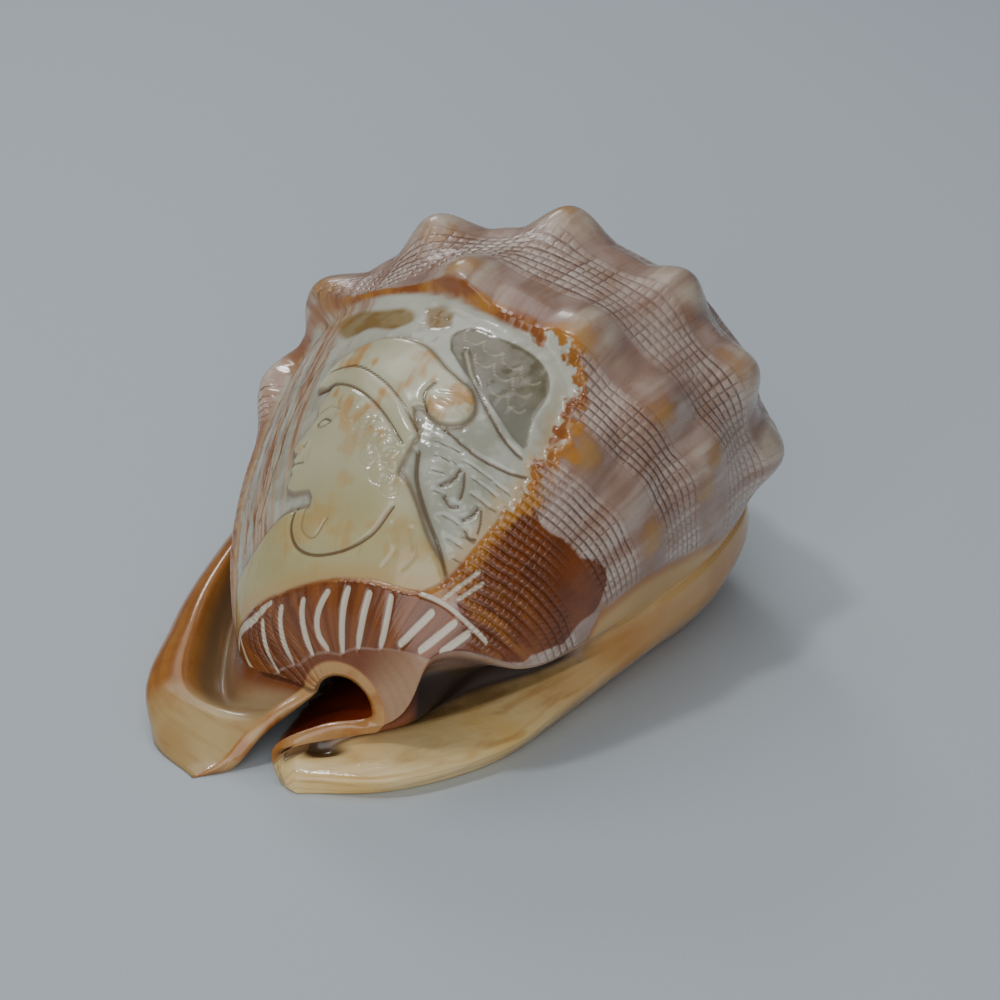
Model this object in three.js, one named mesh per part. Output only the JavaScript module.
// A bullmouth helmet shell, carved on its back as a cameo, lying on its mouth.
// Millimetres, +Z up, +Y towards the spire, outer lip on the -X side.
// The wall is one closed skin: an outer sheet over lip, back and shield,
// and an inner sheet through the slit mouth and the hollow of the last whorl.
import * as THREE from 'three';

// Driving dimensions.
const SHELL_LENGTH = 152;
const KNOB_RADIUS = 6.8;
const KNOB_STRETCH = 1.25;
const ROW_RIDGE_HEIGHT = 1.6;
const ROW_RIDGE_WIDTH = 5.5;
const SPIRE_STEP = 1.6;
const SPIRE_WHORLS = 2;
const WINDOW_DEPTH = 2;
const WINDOW_EDGE = 2.4;
const RELIEF_HEIGHT = 1.6;
const RELIEF_EDGE = 2.6;
// Knobs and carving die away towards both ends of the back's arc.
const FADE_POWER = 0.5;

// All control points below are drawn for a shell of this length.
const DRAWN_LENGTH = 152;
const SIZE = SHELL_LENGTH / DRAWN_LENGTH;

// Facets of the outer sheet across the lip, the back and the shield, and along the shell.
const OUTER = { lip: 14, back: 42, shield: 18, rows: 46 };
// Facets of the inner sheet across the lip's underside, the hollow and the shield's underside.
const INNER = { lip: 9, back: 14, shield: 11, rows: 26 };

// Nine stations run from the canal's edge (first) to the apex (last).
// Back of the last whorl: ellipse centre (x, y, z).
const BACK_CENTRE = [
  [5, -61.2, 12], [3, -58, 14], [2, -46, 20], [1, -30, 27], [0, -5, 34], [1, 18, 36],
  [2.5, 40, 36], [1.5, 57, 34], [1, 70, 32],
];
// Back of the last whorl: ellipse half width and half height.
const BACK_RADII = [
  [8.8, 9], [23, 21], [34, 32], [41, 39], [47, 43], [48.5, 43], [41.5, 36], [21.5, 18],
  [0.3, 0.3],
];
// Arc of the ellipse, degrees from the top: end on the lip side, end on the shield side.
const BACK_ARC = [
  [-80, 100], [-95, 57], [-106, 86], [-110, 97], [-112, 106], [-112, 110], [-112, 110],
  [-112, 110], [-112, 110],
];

// Hollow of the last whorl, given in the same way; it closes before the spire.
const HOLLOW_CENTRE = [
  [5, -61.2, 12.4], [0.5, -57.5, 15], [-1.5, -46, 26.5], [0, -30, 31], [-1, -5, 37],
  [-2, 15, 36], [-13, 36, 6], [-1, 57, 12.5], [1, 70, 30],
];
const HOLLOW_RADII = [
  [6.2, 6], [10, 10.5], [21.5, 17], [33, 27], [37, 31], [33, 28], [9, 2], [6, 1], [0.2, 0.2],
];
const HOLLOW_ARC = [
  [-80, 100], [-95, 95], [-115, 98], [-120, 110], [-122, 120], [-120, 118], [-80, 80],
  [-70, 70], [-70, 70],
];

// Lines that run along the shell through the same stations.
const LIP_FOOT = [
  [-17, -81.5, 0], [-32, -74, 0], [-41, -54, 0], [-47, -32, 0], [-52, -6, 0],
  [-52, 18, 0], [-43, 42, 3], [-21, 58, 13], [1, 70.5, 30],
];
const LIP_RIM = [
  [-13.5, -76.5, 1.8], [-34.6, -71, 7], [-43.8, -51, 10.5], [-49.6, -31, 13], [-55, -6, 14],
  [-55, 18, 15], [-45, 42, 16], [-22, 58, 20], [1, 70.6, 31],
];
const LIP_ROLL = [
  [-10.5, -71, 7], [-28.6, -67, 9.5], [-38.5, -49.5, 13.2], [-45, -30.5, 15.6],
  [-50, -6, 17.6], [-50.5, 18, 19.5], [-42, 41, 21], [-21.6, 58, 24.5], [1, 70.6, 31.5],
];
const LIP_GUTTER = [
  [-7.5, -66.5, 10.6], [-22.5, -61.5, 4.6], [-33, -47.5, 5.6], [-40.5, -30.5, 8.4],
  [-46, -6, 13], [-47, 18, 16.6], [-39, 40, 20], [-20.4, 57, 26], [1, 70.6, 31.6],
];
const POCKET_ROOF = [
  [13.4, -61.2, 9.8], [17, -53, 18], [27, -41, 17.5], [36.5, -28.5, 17], [43.6, -6, 19],
  [46, 18, 21.4], [41, 40, 23], [21.5, 57, 26.6], [1, 70.6, 31.6],
];
const ROLL_SIDE = [
  [12.2, -61.3, 8.4], [18.5, -56.5, 11.5], [20.5, -39, 12.5], [33, -27.5, 14.8],
  [43.8, -6, 18.1], [46.4, 18, 20.7], [41.4, 40, 22.5], [21.7, 57, 26.3], [1, 70.6, 31.5],
];
const POCKET_END = [
  [8.5, -62.6, 7], [14.5, -52, 6.8], [19.5, -40, 8.6], [32, -28, 12.4], [44, -6, 17.3],
  [46.8, 18, 20], [41.8, 40, 22], [22, 57, 26], [1, 70.6, 31.4],
];
const SHIELD_TOP = [
  [1, -71, 5.4], [10.5, -60.5, 6.4], [24.5, -44.5, 8], [34, -28.8, 10.6], [44.4, -6, 14.5],
  [47.2, 18, 18], [42.2, 40, 20.5], [22.4, 57, 25], [1, 70.6, 31.2],
];
const SHIELD_RIM = [
  [2.5, -75.6, 3.2], [20.8, -67, 3.8], [33.6, -47.2, 5], [38.5, -27, 7.4], [44.2, -6, 10],
  [47.4, 18, 13], [42, 41, 17.5], [22, 58, 22], [1, 70.6, 31],
];
const SHIELD_FOOT = [
  [3.5, -76, 0], [19, -66, 0], [30.5, -48, 0], [34.5, -24, 0], [36.5, 0, 0], [39, 21, 0],
  [35, 42, 5], [19, 58, 14], [1, 70.5, 30],
];
const SHIELD_UNDERSIDE = [
  [0, -75.3, 0], [9, -64, -1.2], [20, -47, -1.2], [24, -26, -1.2], [25, -2, -1.2],
  [26, 19, -1.2], [22, 41, 1.5], [13, 57.5, 12], [1, 70.4, 30],
];
const MOUTH_INNER_EDGE = [
  [-4, -73, 5.6], [-8, -62, 3], [-9.5, -47, 3], [-10, -28, 3], [-10, -4, 3.4], [-10.5, 17, 4],
  [-3, 38, 6], [6, 57, 12.6], [1, 70.4, 30],
];
const PILLAR_FACE = [
  [3, -66.4, 9.8], [2, -58, 9], [2, -46, 11], [2, -30, 10.5], [2, -5, 11], [0, 15, 11],
  [-4, 37, 6.2], [5.6, 57, 12.5], [1, 70.4, 30],
];
const LIP_INSIDE = [
  [-8, -69.5, 6.2], [-14.5, -60, 8.5], [-20.5, -46, 9.5], [-24.5, -29, 10], [-26.5, -5, 11],
  [-25.5, 16, 10.5], [-22.3, 37, 5.6], [-7.5, 57, 12.2], [1, 70.4, 30],
];
const MOUTH_OUTER_EDGE = [
  [-11.5, -75.5, 0.6], [-18.5, -63, 3], [-20, -47, 3], [-21, -28, 3], [-22, -4, 3.2],
  [-22, 17, 3.8], [-22.5, 38, 5], [-8, 57, 12], [1, 70.4, 30],
];
const LIP_UNDERSIDE = [
  [-15, -79.3, -0.6], [-25, -68, -1.2], [-31, -50, -1.2], [-36, -30, -1.2], [-40, -6, -1.2],
  [-39, 18, -1.2], [-33, 41, 1.2], [-14, 57.5, 11.6], [1, 70.4, 30],
];
const APEX = [1, 70.8, 31];

// Knobs in spiral rows: degrees from the top of the back, place along Y, height.
const KNOB_ROWS = [
  [[-98, -14, 5.5], [-72, -8, 6.4], [-50, 2.5, 7.5], [-25, 17, 7], [2, 29, 7],
    [35, 28, 6.5], [63, 28, 6.5], [90, 33, 10]],
  [[-2, -3.5, 5], [32, -3, 5], [56, -1, 4.8], [76, 5, 4.6]],
  [[52, -22, 3], [69, -17, 3], [83, -14.5, 2.8]],
];
// Station, as a share of the way to the apex, from which the older whorls show as steps.
const SPIRE_START = 0.74;
const SPIRE_BLEND = 0.06;
// Carved window on the back: angles of its sides, Y of its lower and upper edge.
const WINDOW = { left: -60, right: 43, bottom: -56.5, top: -7.5 };
// Raised head in its cap, and the shoulders below: angle, Y, half sizes along the arc and along Y.
const RELIEF = [
  { angle: -9, y: -33, across: 15, length: 15 },
  { angle: 0, y: -49, across: 17, length: 9 },
];

const smooth = (edge, value) => THREE.MathUtils.smoothstep(value, -edge / 2, edge / 2);
const point = (p) => new THREE.Vector3(p[0], p[1], p[2] ?? 0);
const along = (points) => new THREE.CatmullRomCurve3(points.map(point), false, 'catmullrom', 0.5);

const back = { centre: along(BACK_CENTRE), radii: along(BACK_RADII), arc: along(BACK_ARC) };
const hollow = { centre: along(HOLLOW_CENTRE), radii: along(HOLLOW_RADII), arc: along(HOLLOW_ARC) };
const lipOuter = [LIP_FOOT, LIP_RIM, LIP_ROLL, LIP_GUTTER].map(along);
const shieldOuter = [POCKET_ROOF, ROLL_SIDE, POCKET_END, SHIELD_TOP, SHIELD_RIM, SHIELD_FOOT]
  .map(along);
const shieldInner = [SHIELD_FOOT, SHIELD_UNDERSIDE, MOUTH_INNER_EDGE, PILLAR_FACE].map(along);
const lipInner = [LIP_INSIDE, MOUTH_OUTER_EDGE, LIP_UNDERSIDE, LIP_FOOT].map(along);

// Angle past an arc's end at which the joining curve takes its direction.
const LEAD_ANGLE = 20;

function arcPoint(whorl, v, degrees) {
  const centre = whorl.centre.getPoint(v);
  const radii = whorl.radii.getPoint(v);
  const angle = THREE.MathUtils.degToRad(degrees);
  centre.x += radii.x * Math.sin(angle);
  centre.z += radii.y * Math.cos(angle);
  return centre;
}

// Points of a curve through the given control points, from one of them to another.
function curvePoints(controls, from, to, steps) {
  const curve = new THREE.CatmullRomCurve3(controls, false, 'centripetal');
  const last = controls.length - 1;
  const points = [];
  for (let i = 0; i <= steps; i += 1) {
    points.push(curve.getPoint((from + ((to - from) * i) / steps) / last));
  }
  return points;
}

// One row of the outer sheet, from the lip's foot over the back to the shield's foot.
function outerRow(v) {
  const arc = back.arc.getPoint(v);
  const start = arcPoint(back, v, arc.x);
  const end = arcPoint(back, v, arc.y);
  const lip = lipOuter.map((rail) => rail.getPoint(v));
  const shield = shieldOuter.map((rail) => rail.getPoint(v));
  const lipCurve = [...lip, start, arcPoint(back, v, arc.x + LEAD_ANGLE)];
  const shieldCurve = [arcPoint(back, v, arc.y - LEAD_ANGLE), end, ...shield];
  const row = curvePoints(lipCurve, 0, lip.length, OUTER.lip).slice(0, -1);
  for (let i = 0; i <= OUTER.back; i += 1) {
    const angle = THREE.MathUtils.lerp(arc.x, arc.y, i / OUTER.back);
    const p = arcPoint(back, v, angle);
    p.angle = angle;
    p.fade = Math.sin((Math.PI * i) / OUTER.back) ** FADE_POWER;
    row.push(p);
  }
  row.push(...curvePoints(shieldCurve, 1, shieldCurve.length - 1, OUTER.shield).slice(1));
  return row;
}

// One row of the inner sheet, from the shield's underside through the hollow to the lip's.
function innerRow(v) {
  const arc = hollow.arc.getPoint(v);
  const start = arcPoint(hollow, v, arc.y);
  const end = arcPoint(hollow, v, arc.x);
  const shield = shieldInner.map((rail) => rail.getPoint(v));
  const lip = lipInner.map((rail) => rail.getPoint(v));
  const shieldCurve = [...shield, start, arcPoint(hollow, v, arc.y - LEAD_ANGLE)];
  const lipCurve = [arcPoint(hollow, v, arc.x + LEAD_ANGLE), end, ...lip];
  const row = curvePoints(shieldCurve, 0, shield.length, INNER.shield).slice(1, -1);
  for (let i = 0; i <= INNER.back; i += 1) {
    row.push(arcPoint(hollow, v, THREE.MathUtils.lerp(arc.y, arc.x, i / INNER.back)));
  }
  row.push(...curvePoints(lipCurve, 1, lipCurve.length - 1, INNER.lip).slice(1, -1));
  return row;
}

// Height of knobs and ridges above the plain back, less the carved window.
function carvedHeight(p, v) {
  const radii = back.radii.getPoint(v);
  const perDegree = THREE.MathUtils.degToRad((radii.x + radii.y) / 2);
  let height = 0;
  for (const row of KNOB_ROWS) {
    for (let k = 0; k < row.length; k += 1) {
      const [angle, y, rise] = row[k];
      const across = ((p.angle - angle) * perDegree) / KNOB_RADIUS;
      const lengthwise = (p.y - y) / (KNOB_RADIUS * KNOB_STRETCH);
      height = Math.max(height, rise * Math.exp(-(across ** 2) - lengthwise ** 2));
      if (k > 0 && p.angle > row[k - 1][0] && p.angle <= angle) {
        const share = (p.angle - row[k - 1][0]) / (angle - row[k - 1][0]);
        const offset = (p.y - THREE.MathUtils.lerp(row[k - 1][1], y, share)) / ROW_RIDGE_WIDTH;
        height = Math.max(height, ROW_RIDGE_HEIGHT * Math.exp(-(offset ** 2)));
      }
    }
  }
  const turn = ((v - SPIRE_START) / (1 - SPIRE_START)) * SPIRE_WHORLS + p.angle / 360;
  height += SPIRE_STEP * Math.sin(2 * Math.PI * turn) * smooth(SPIRE_BLEND, v - SPIRE_START);
  const inWindow = smooth(WINDOW_EDGE, (p.angle - WINDOW.left) * perDegree)
    * smooth(WINDOW_EDGE, (WINDOW.right - p.angle) * perDegree)
    * smooth(WINDOW_EDGE, p.y - WINDOW.bottom)
    * smooth(WINDOW_EDGE, WINDOW.top - p.y);
  let relief = 0;
  for (const { angle, y, across, length } of RELIEF) {
    const distance = Math.hypot(((p.angle - angle) * perDegree) / across, (p.y - y) / length);
    relief = Math.max(relief, smooth(RELIEF_EDGE, (1 - distance) * length));
  }
  const carved = RELIEF_HEIGHT * relief - WINDOW_DEPTH;
  return THREE.MathUtils.lerp(height, carved, inWindow) * p.fade;
}

// Moves each point of the back along the sheet's own normal.
function raiseBack(rows, stations) {
  const moved = rows.map((row) => row.map((p) => p.clone()));
  for (let j = 1; j < rows.length; j += 1) {
    const next = rows[Math.min(j + 1, rows.length - 1)];
    for (let i = 1; i < rows[j].length - 1; i += 1) {
      const p = rows[j][i];
      if (p.fade) {
        const acrossStep = rows[j][i + 1].clone().sub(rows[j][i - 1]);
        const alongStep = next[i].clone().sub(rows[j - 1][i]);
        const normal = acrossStep.cross(alongStep).normalize();
        moved[j][i].addScaledVector(normal, carvedHeight(p, stations[j]));
      }
    }
  }
  return moved;
}

// Triangles between two lines of vertices that run the same way, each with its own count.
function zip(triangles, first, second) {
  let a = 0;
  let b = 0;
  while (a < first.length - 1 || b < second.length - 1) {
    const nextA = (a + 1) / (first.length - 1);
    const nextB = (b + 1) / (second.length - 1);
    if (b === second.length - 1 || (a < first.length - 1 && nextA <= nextB)) {
      triangles.push(first[a], first[a + 1], second[b]);
      a += 1;
    } else {
      triangles.push(first[a], second[b + 1], second[b]);
      b += 1;
    }
  }
}

function shellGeometry() {
  const vertices = [];
  const triangles = [];
  const addVertex = (p) => vertices.push(p.x * SIZE, p.y * SIZE, Math.max(p.z, 0) * SIZE) / 3 - 1;
  const stationList = (count) => Array.from({ length: count }, (_, j) => j / count);

  const outerStations = stationList(OUTER.rows);
  const outer = raiseBack(outerStations.map(outerRow), outerStations)
    .map((row) => row.map(addVertex));
  const inner = stationList(INNER.rows).map((v) => innerRow(v).map(addVertex));
  const apex = addVertex(point(APEX));

  for (const sheet of [outer, inner]) {
    const last = sheet[sheet.length - 1];
    for (let j = 0; j < sheet.length - 1; j += 1) {
      for (let i = 0; i < last.length - 1; i += 1) {
        triangles.push(sheet[j][i], sheet[j][i + 1], sheet[j + 1][i + 1]);
        triangles.push(sheet[j][i], sheet[j + 1][i + 1], sheet[j + 1][i]);
      }
    }
    for (let i = 0; i < last.length - 1; i += 1) {
      triangles.push(last[i], last[i + 1], apex);
    }
  }

  // Front edge of the wall, joined part by part: lip, back and shield.
  const front = outer[0];
  const mouth = [...inner[0]].reverse();
  const outerCuts = [0, OUTER.lip, OUTER.lip + OUTER.back, front.length - 1];
  const innerCuts = [0, INNER.lip - 1, INNER.lip - 1 + INNER.back, mouth.length - 1];
  for (let part = 0; part < 3; part += 1) {
    zip(
      triangles,
      mouth.slice(innerCuts[part], innerCuts[part + 1] + 1),
      front.slice(outerCuts[part], outerCuts[part + 1] + 1),
    );
  }

  // Feet of the lip and the shield, joined from the front edge to the apex.
  const column = (sheet, side) => sheet.map((row) => row.at(side));
  zip(triangles, column(outer, 0), column(inner, -1));
  zip(triangles, column(inner, 0), column(outer, -1));
  triangles.push(outer.at(-1)[0], apex, inner.at(-1).at(-1));
  triangles.push(inner.at(-1)[0], apex, outer.at(-1).at(-1));

  const geometry = new THREE.BufferGeometry();
  geometry.setAttribute('position', new THREE.Float32BufferAttribute(vertices, 3));
  geometry.setIndex(triangles);
  geometry.computeVertexNormals();
  geometry.computeBoundingBox();
  return geometry;
}

const geometry = shellGeometry();
const material = new THREE.MeshStandardMaterial({ color: 0xc3a68a, roughness: 0.3, metalness: 0 });
const shell = new THREE.Mesh(geometry, material);
shell.name = 'helmet_shell';
// The origin is the middle of the shell's box, on the surface that it lies on.
const middle = geometry.boundingBox.getCenter(new THREE.Vector3());
shell.position.set(-middle.x, -middle.y, 0);

const group = new THREE.Group();
group.add(shell);

export default group;
